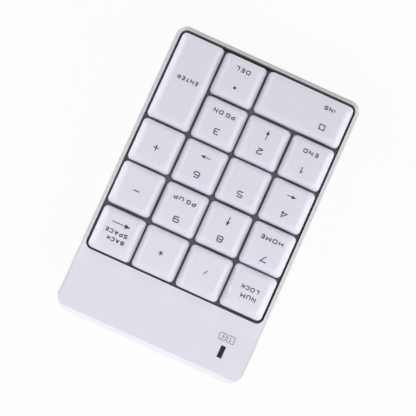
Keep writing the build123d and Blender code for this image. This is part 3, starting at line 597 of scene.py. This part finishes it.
# A glyph is its width beside a plain letter's, then its strokes: each the radius of its corners, as
# a share of the height, and its points, from (0, 0) at the lower left to (1, 1) at the upper right.
glyphs = {
    "A": (1.1, [(0, [(0, 0), (0.5, 1), (1, 0)]), (0, [(0.18, 0.33), (0.82, 0.33)])]),
    "B": (1.0, [(0, [(0, 0), (0, 1)]), (0.2, [(0, 1), (0.92, 1), (0.92, 0.52), (0, 0.52)]),
                (0.2, [(0, 0.52), (1, 0.52), (1, 0), (0, 0)])]),
    "C": (1.0, [(0.25, [(1, 0.8), (1, 1), (0, 1), (0, 0), (1, 0), (1, 0.2)])]),
    "D": (1.1, [(0, [(0, 0), (0, 1)]), (0.45, [(0, 1), (1, 1), (1, 0), (0, 0)])]),
    "E": (0.9, [(0, [(1, 1), (0, 1), (0, 0), (1, 0)]), (0, [(0, 0.5), (0.85, 0.5)])]),
    "F": (0.9, [(0, [(1, 1), (0, 1), (0, 0)]), (0, [(0, 0.5), (0.85, 0.5)])]),
    "G": (1.0, [(0.25, [(1, 0.8), (1, 1), (0, 1), (0, 0), (1, 0), (1, 0.5), (0.55, 0.5)])]),
    "H": (1.1, [(0, [(0, 0), (0, 1)]), (0, [(1, 0), (1, 1)]), (0, [(0, 0.5), (1, 0.5)])]),
    "I": (0.0, [(0, [(0, 0), (0, 1)])]),
    "K": (1.0, [(0, [(0, 0), (0, 1)]), (0, [(0, 0.5), (0.35, 0.5), (1, 1)]), (0, [(0.35, 0.5), (1, 0)])]),
    "L": (0.85, [(0, [(0, 1), (0, 0), (1, 0)])]),
    "M": (1.3, [(0, [(0, 0), (0, 1), (0.5, 0.4), (1, 1), (1, 0)])]),
    "N": (1.0, [(0, [(0, 0), (0, 1), (1, 0), (1, 1)])]),
    "O": (1.2, [(0.3, [(0.5, 1), (0, 1), (0, 0), (1, 0), (1, 1), (0.5, 1)])]),
    "P": (0.9, [(0, [(0, 0), (0, 1)]), (0.25, [(0, 1), (1, 1), (1, 0.4), (0, 0.4)])]),
    "R": (0.92, [(0, [(0, 0), (0, 1)]), (0.25, [(0, 1), (1, 1), (1, 0.4), (0, 0.4)]),
                 (0, [(0.55, 0.4), (1, 0)])]),
    "S": (0.95, [(0.2, [(1, 0.82), (1, 1), (0, 1), (0, 0.52), (1, 0.52), (1, 0), (0, 0), (0, 0.18)])]),
    "T": (0.95, [(0, [(0, 1), (1, 1)]), (0, [(0.5, 1), (0.5, 0)])]),
    "U": (1.1, [(0.3, [(0, 1), (0, 0), (1, 0), (1, 1)])]),
    "0": (1.0, [(0.04, [(0.5, 1), (0, 1), (0, 0), (1, 0), (1, 1), (0.5, 1)])]),
    "1": (0.42, [(0, [(0, 0.68), (1, 1), (1, 0)])]),
    "2": (1.0, [(0.22, [(0, 0.72), (0, 1), (1, 1), (1, 0.58), (0, 0.12), (0, 0)]), (0, [(0, 0), (1, 0)])]),
    "3": (1.0, [(0.34, [(0, 1), (1, 1), (0.96, 0.52), (0.3, 0.52)]),
                (0.34, [(0.3, 0.52), (1, 0.52), (1, 0), (0, 0)])]),
    "4": (1.05, [(0, [(0.74, 0), (0.74, 1), (0, 0.3), (1, 0.3)])]),
    "5": (1.0, [(0.22, [(1, 1), (0.5, 1), (0.0, 1), (0.0, 0.58), (1, 0.58), (1, 0), (0, 0)])]),
    "6": (1.0, [(0.25, [(0.9, 1), (0, 1), (0, 0), (1, 0), (1, 0.56), (0, 0.56)])]),
    "7": (1.0, [(0, [(0, 1), (1, 1), (0.32, 0)])]),
    "8": (1.0, [(0.2, [(0.5, 1), (0.07, 1), (0.07, 0.52), (0.93, 0.52), (0.93, 1), (0.5, 1)]),
                (0.2, [(0.5, 0), (0, 0), (0, 0.52), (1, 0.52), (1, 0), (0.5, 0)])]),
    "9": (1.0, [(0.25, [(0.1, 0), (1, 0), (1, 1), (0, 1), (0, 0.44), (1, 0.44)])]),
    "+": (1.0, [(0, [(0, 0.5), (1, 0.5)]), (0, [(0.5, 0), (0.5, 1)])]),
    "-": (1.0, [(0, [(0, 0.5), (1, 0.5)])]),
    "/": (1.0, [(0, [(0, 0), (1, 1)])]),
    "*": (1.0, [(0, [(0.5, 0.5), (0.5 + 0.5 * math.sin(turn), 0.5 + 0.5 * math.cos(turn))])
                for turn in np.arange(5) * math.tau / 5]),
}
letter_gap, word_gap = 0.76, 1.2
# A legend is its words, each with its middle across and along from the key's, its width and its
# height, in millimetres.
legends = {
    "num_lock": [("NUM", -0.5, 2.1, 6.5, 2.0), ("LOCK", 0.12, -1.3, 7.75, 1.75)],
    "divide": [("/", -0.15, 0.05, 1.3, 2.4)],
    "multiply": [("*", 0.1, 0.4, 2.5, 2.5)],
    "backspace": [("BACK", -0.42, 3.2, 7.6, 1.7), ("SPACE", 0.37, 0.28, 9.5, 1.75),
                  ("left", -0.08, -3.42, 8.0, 1.9)],
    "seven": [("7", -0.13, 4.56, 2.95, 2.85), ("HOME", 0.0, -3.6, 9.7, 1.8)],
    "eight": [("8", 0.13, 4.6, 2.7, 2.65), ("up", -0.13, -3.2, 1.5, 4.1)],
    "nine": [("9", 0.04, 4.65, 2.65, 2.6), ("PG UP", -0.08, -3.6, 9.5, 1.8)],
    "minus": [("-", -0.03, 0.9, 2.9, 0.4)],
    "four": [("4", 0.0, 4.08, 3.0, 2.85), ("left", -0.12, -3.6, 3.9, 1.5)],
    "five": [("5", 0.12, 4.05, 2.55, 2.65)],
    "six": [("6", 0.03, 4.05, 2.65, 2.65), ("right", -0.42, -3.75, 4.2, 1.5)],
    "plus": [("+", 0.0, 0.92, 2.6, 2.75)],
    "one": [("1", 0.41, 3.87, 1.2, 2.85), ("END", 0.07, -3.85, 6.5, 1.8)],
    "two": [("2", 0.05, 4.05, 2.5, 2.55), ("down", -0.25, -3.1, 1.5, 4.1)],
    "three": [("3", -0.2, 4.05, 2.6, 2.65), ("PG DN", -0.17, -3.8, 9.3, 1.8)],
    "enter": [("ENTER", -0.33, -0.58, 8.85, 1.75)],
    "zero": [("0", -9.33, 3.85, 2.6, 2.5), ("INS", -9.29, -4.1, 4.55, 1.65)],
    "decimal": [("dot", 0.37, 4.0, 1.25, 1.25), ("DEL", 0.08, -3.85, 6.3, 1.85)],
}


def softened(path, radius, steps=4):
    """The path with its corners as curves: each starts and ends a radius from the corner.

    A curve's point is the start weighed by the square of what is left, the end by the square of
    what is gone, and the corner by twice their product.
    """
    path = np.asarray(path, float)
    if not radius or len(path) < 3:
        return path
    corner, before, after = path[1:-1], path[:-2] - path[1:-1], path[2:] - path[1:-1]
    reach_before = np.minimum(radius, np.linalg.norm(before, axis=1) / 2)[:, None]
    reach_after = np.minimum(radius, np.linalg.norm(after, axis=1) / 2)[:, None]
    start = corner + before / np.linalg.norm(before, axis=1)[:, None] * reach_before
    end = corner + after / np.linalg.norm(after, axis=1)[:, None] * reach_after
    gone = np.linspace(0, 1, steps + 1)[:, None, None]
    curve = start * (1 - gone) ** 2 + corner * 2 * gone * (1 - gone) + end * gone ** 2
    return np.concatenate([path[:1], np.moveaxis(curve, 0, 1).reshape(-1, 2), path[-1:]])


def stroke(path, width, low, high):
    """A flat stroke of ink, its edges half a width either side of the path.

    At each point the edges lie along the mean of the normals before and after it, lengthened by
    one over the cosine of half the turn. That cosine is held from going under a least one, so a
    sharp corner gets no long spike.
    """
    shortest_step, least_cosine = 1e-7, 0.45
    step = np.linalg.norm(np.diff(path, axis=0), axis=1)
    path = path[np.concatenate([[True], step > shortest_step])]
    ahead = np.diff(path, axis=0)
    ahead = ahead / np.linalg.norm(ahead, axis=1)[:, None]
    ring = np.allclose(path[0], path[-1])
    before = np.concatenate([ahead[-1:] if ring else ahead[:1], ahead])
    after = np.concatenate([ahead, ahead[:1] if ring else ahead[-1:]])
    mean = (before + after) / np.linalg.norm(before + after, axis=1)[:, None]
    reach = width / 2 / np.maximum(np.sum(mean * after, 1), least_cosine)
    side = np.stack([-mean[:, 1], mean[:, 0]], -1) * reach[:, None]
    edges = np.stack([path + side, path + side, path - side, path - side], 1)
    level = np.broadcast_to(np.array([low, high, high, low])[None, :, None], (len(path), 4, 1))
    rings = np.concatenate([edges, level], -1)
    return skin(rings[:-1], loop=True) if ring else skin(rings)


def lettering(text, x, y, width, height, line, low, high):
    """Skins of a word centred at x and y, its letters stretched to its width and height."""
    advance = [word_gap - 2 * letter_gap if letter == " " else glyphs[letter][0] for letter in text]
    total = sum(advance) + letter_gap * (len(text) - 1)
    scale = (width - line) / total if total else 0.0
    tall = height - line
    pen, made = 0.0, []
    for letter, own in zip(text, advance):
        if letter != " ":
            for radius, path in glyphs[letter][1]:
                shape = np.asarray(path, float) * (own * scale, tall)
                shape += (x - (width - line) / 2 + pen * scale, y - tall / 2)
                made.append(stroke(softened(shape, radius * tall), line, low, high))
        pen += own + letter_gap
    return made


def arrow(kind, x, y, width, height, line, low, high):
    """Skins of an arrow centred at x and y: a thin shaft and a long filled head."""
    turn = {"right": 0.0, "up": math.pi / 2, "left": math.pi, "down": -math.pi / 2}[kind]
    head_share, shaft_reach, shaft_share = 1.25, 0.8, 0.85
    length, breadth = max(width, height), min(width, height)
    head = head_share * breadth
    shaft = np.array([[-length / 2, 0.0], [length / 2 - head * shaft_reach, 0.0]])
    tip = np.array([[length / 2, 0.0], [length / 2 - head, breadth / 2], [length / 2 - head, -breadth / 2]])
    way = np.array([[math.cos(turn), math.sin(turn)], [-math.sin(turn), math.cos(turn)]])
    tip = tip @ way + (x, y)
    levels = np.stack([np.column_stack([tip, np.full(3, level)]) for level in (low, high)])
    return [stroke(shaft @ way + (x, y), line * shaft_share, low, high), skin(levels)]


def legend(word, x, y, width, height, line, low, high):
    """Skins of a word, an arrow or a dot."""
    if word == "dot":
        return [skin(round_rings([width / 2, width / 2], [low, high]) + (x, y, 0))]
    if word in ("left", "right", "up", "down"):
        return arrow(word, x, y, width, height, line, low, high)
    return lettering(word, x, y, width, height, line, low, high)


def line_width(word):
    """Width of a word's line: words and arrows, digits, thin signs and other signs each have one."""
    if len(word) > 1:
        return word_stroke
    if word.isdigit():
        return digit_stroke
    return fine_stroke if word in ("*", "/") else sign_stroke


ink = finish("legend_ink", ink_grey, 0.55, cloud=0.04, cloud_size=0.002, grain_depth=0.000001)
for name, words in legends.items():
    across, along = key_place(name)
    parts = []
    for word, x, y, width, height in words:
        size = (width * mm, height * mm)
        parts += legend(word, x * mm, y * mm, *size, line_width(word), ink_low, ink_high)
    parts = [(on_deck(points, across, along), faces) for points, faces in parts]
    piece("legend_" + name, parts, ink, "key_" + name, smooth=False)


# Indicator. A dark smoked window in the band over two lamps on the board, and two small icons
# printed beside it: a boxed figure for the number lock and a boxed bolt for a low cell.
lens_black = (18, 18, 23)
lens_gloss = {"Specular IOR Level": 0.3}
lens_finish = finish("lens_plastic", lens_black, 0.16, cloud=0.05, grain_depth=0.0, fixed=lens_gloss)
dress(lens_finish, "indicator_lens")
lamp_body = (214, 208, 176)
dress(finish("led_body", lamp_body, 0.4, cloud=0.05, cloud_size=0.001), "indicator_leds")
icon_grey = (96, 94, 102)
icon_line = 0.25 * mm
icon_half = 1.45 * mm
icon_along = 107.95 * mm
number_across, bolt_across = -30.0 * mm, -26.45 * mm
number_corner, bolt_corner = 0.2 * mm, 0.7 * mm
figure_width, figure_height = 0.85 * mm, 1.9 * mm
icon_low, icon_high = -0.02 * mm, 0.02 * mm


def box_path(half, corner):
    """A closed square path with curved corners, begun at the middle of one side."""
    square = np.array([(0, 1), (-1, 1), (-1, -1), (1, -1), (1, 1), (0, 1)]) * half
    return softened(square, corner)


bolt = np.array([(0.25, 0.75), (-0.45, -0.05), (0.1, -0.05), (-0.25, -0.75)]) * icon_half
icon_paths = (
    box_path(icon_half, number_corner) + (number_across, icon_along),
    box_path(icon_half, bolt_corner) + (bolt_across, icon_along),
    bolt + (bolt_across, icon_along),
)
icon_parts = [stroke(path, icon_line, icon_low, icon_high) for path in icon_paths]
icon_parts += lettering(
    "1", number_across, icon_along, figure_width, figure_height, icon_line, icon_low, icon_high,
)
icon_ink = finish("icon_ink", icon_grey, 0.55, cloud=0.04, cloud_size=0.002, grain_depth=0.000001)
icon_parts = [(on_deck(points), faces) for points, faces in icon_parts]
piece("indicator_icons", icon_parts, icon_ink, "case", smooth=False)


# Circuit board. Green glass-epoxy laminate with copper tracks under the mask; the films' tail
# is pressed on its fingers by a screwed clamp.
def board_tracks(place):
    """Tracks near the crests of a slow diagonal wave of the place, bent by its distortion."""
    crest = 0.72
    bands = {"wave_type": "BANDS", "bands_direction": "DIAGONAL"}
    values = {"Vector": place, "Scale": 90.0, "Distortion": 6.0, "Detail": 0.0}
    return [(place.node("TexWave", bands, values, "Fac") > crest, (46, 118, 62), 0.35, 0.0)]


mask_green = (24, 84, 44)
board_finish = finish("board_laminate", mask_green, 0.3, cloud=0.08, cloud_size=0.003, marks=board_tracks)
dress(board_finish, "circuit_board")
chip_black = (34, 34, 36)
dress(finish("chip_resin", chip_black, 0.7, cloud=0.12, cloud_size=0.001), "controller_chip")
can_nickel = (186, 186, 182)
dress(finish("crystal_can", can_nickel, 0.25, metallic=1.0, cloud=0.04), "radio_crystal")
clamp_grey = (70, 70, 74)
dress(finish("clamp_plastic", clamp_grey, 0.6, cloud=0.06), "membrane_clamp")


# Battery, contacts and lead. A plain AAA cell in a printed sleeve between a sprung and a flat
# nickel-plated contact, and a red insulated lead from the switch to the board.
def sleeve_bands(place):
    """One copper-coloured end of the sleeve and bare steel ends, by the share along the cell."""
    copper_start, foot_end, cap_start = 0.74, 0.012, 0.965
    low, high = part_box("battery_cell")
    along = (place.axis(0) - low[0]) / (high[0] - low[0])
    bare = place.maths("MAXIMUM", along < foot_end, along > cap_start)
    return [(along > copper_start, (176, 118, 62), 0.3, 0.0), (bare, (190, 190, 188), 0.25, 1.0)]


sleeve_black = (30, 30, 34)
dress(finish("cell_jacket", sleeve_black, 0.3, cloud=0.05, marks=sleeve_bands), "battery_cell")
contact_nickel = (184, 180, 170)
contact_finish = finish("contact_steel", contact_nickel, 0.3, metallic=1.0, cloud=0.05, cloud_size=0.003)
dress(contact_finish, "battery_spring_contact", "battery_plate_contact")
lead_red = (150, 24, 26)
dress(finish("lead_insulation", lead_red, 0.4, cloud=0.06), "power_lead")


# Power switch. A black slide switch on a shelf inside the right wall, its stem in a recess. It
# rests at OFF, and the two words are printed on the wall either side of the middle of its travel.
switch_black = (32, 32, 35)
switch_finish = finish("switch_plastic", switch_black, 0.45, cloud=0.08, cloud_size=0.002)
dress(switch_finish, "power_switch_body", "power_switch_slider")
switch_travel = 2.0 * mm
slider_low, slider_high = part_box("power_switch_slider")
switch_along = (slider_low[1] + slider_high[1]) / 2 + switch_travel / 2
switch_level = (slider_low[2] + slider_high[2]) / 2
word_distance, word_height, word_line = 7.3 * mm, 1.5 * mm, 0.3 * mm
word_low, word_high = cad_high[0] - 0.04 * mm, cad_high[0] + 0.03 * mm
word_skins = []
for word, side, width in (("OFF", -1, 4.2 * mm), ("ON", 1, 3.0 * mm)):
    word_skins += lettering(
        word, side * word_distance, 0.0, width, word_height, word_line, word_low, word_high,
    )
# On the wall a letter's thickness points across, its width runs along and its height goes up.
word_place = (0.0, switch_along, switch_level)
word_skins = [(points[:, [2, 0, 1]] + word_place, faces) for points, faces in word_skins]
piece("switch_words", word_skins, icon_ink, "case", smooth=False)


# Receiver. A small plug-in radio stowed in the far wall: a grey cap on a folded steel shell
# round a white contact tongue.
receiver_grey = (58, 58, 62)
dress(finish("receiver_plastic", receiver_grey, 0.45, cloud=0.05), "receiver_cap")
dress(finish("plug_steel", zinc, 0.25, metallic=1.0, cloud=0.05, cloud_size=0.004), "receiver_plug_shell")
tongue_white = (224, 224, 220)
dress(finish("tongue_plastic", tongue_white, 0.5, cloud=0.03), "receiver_plug_tongue")
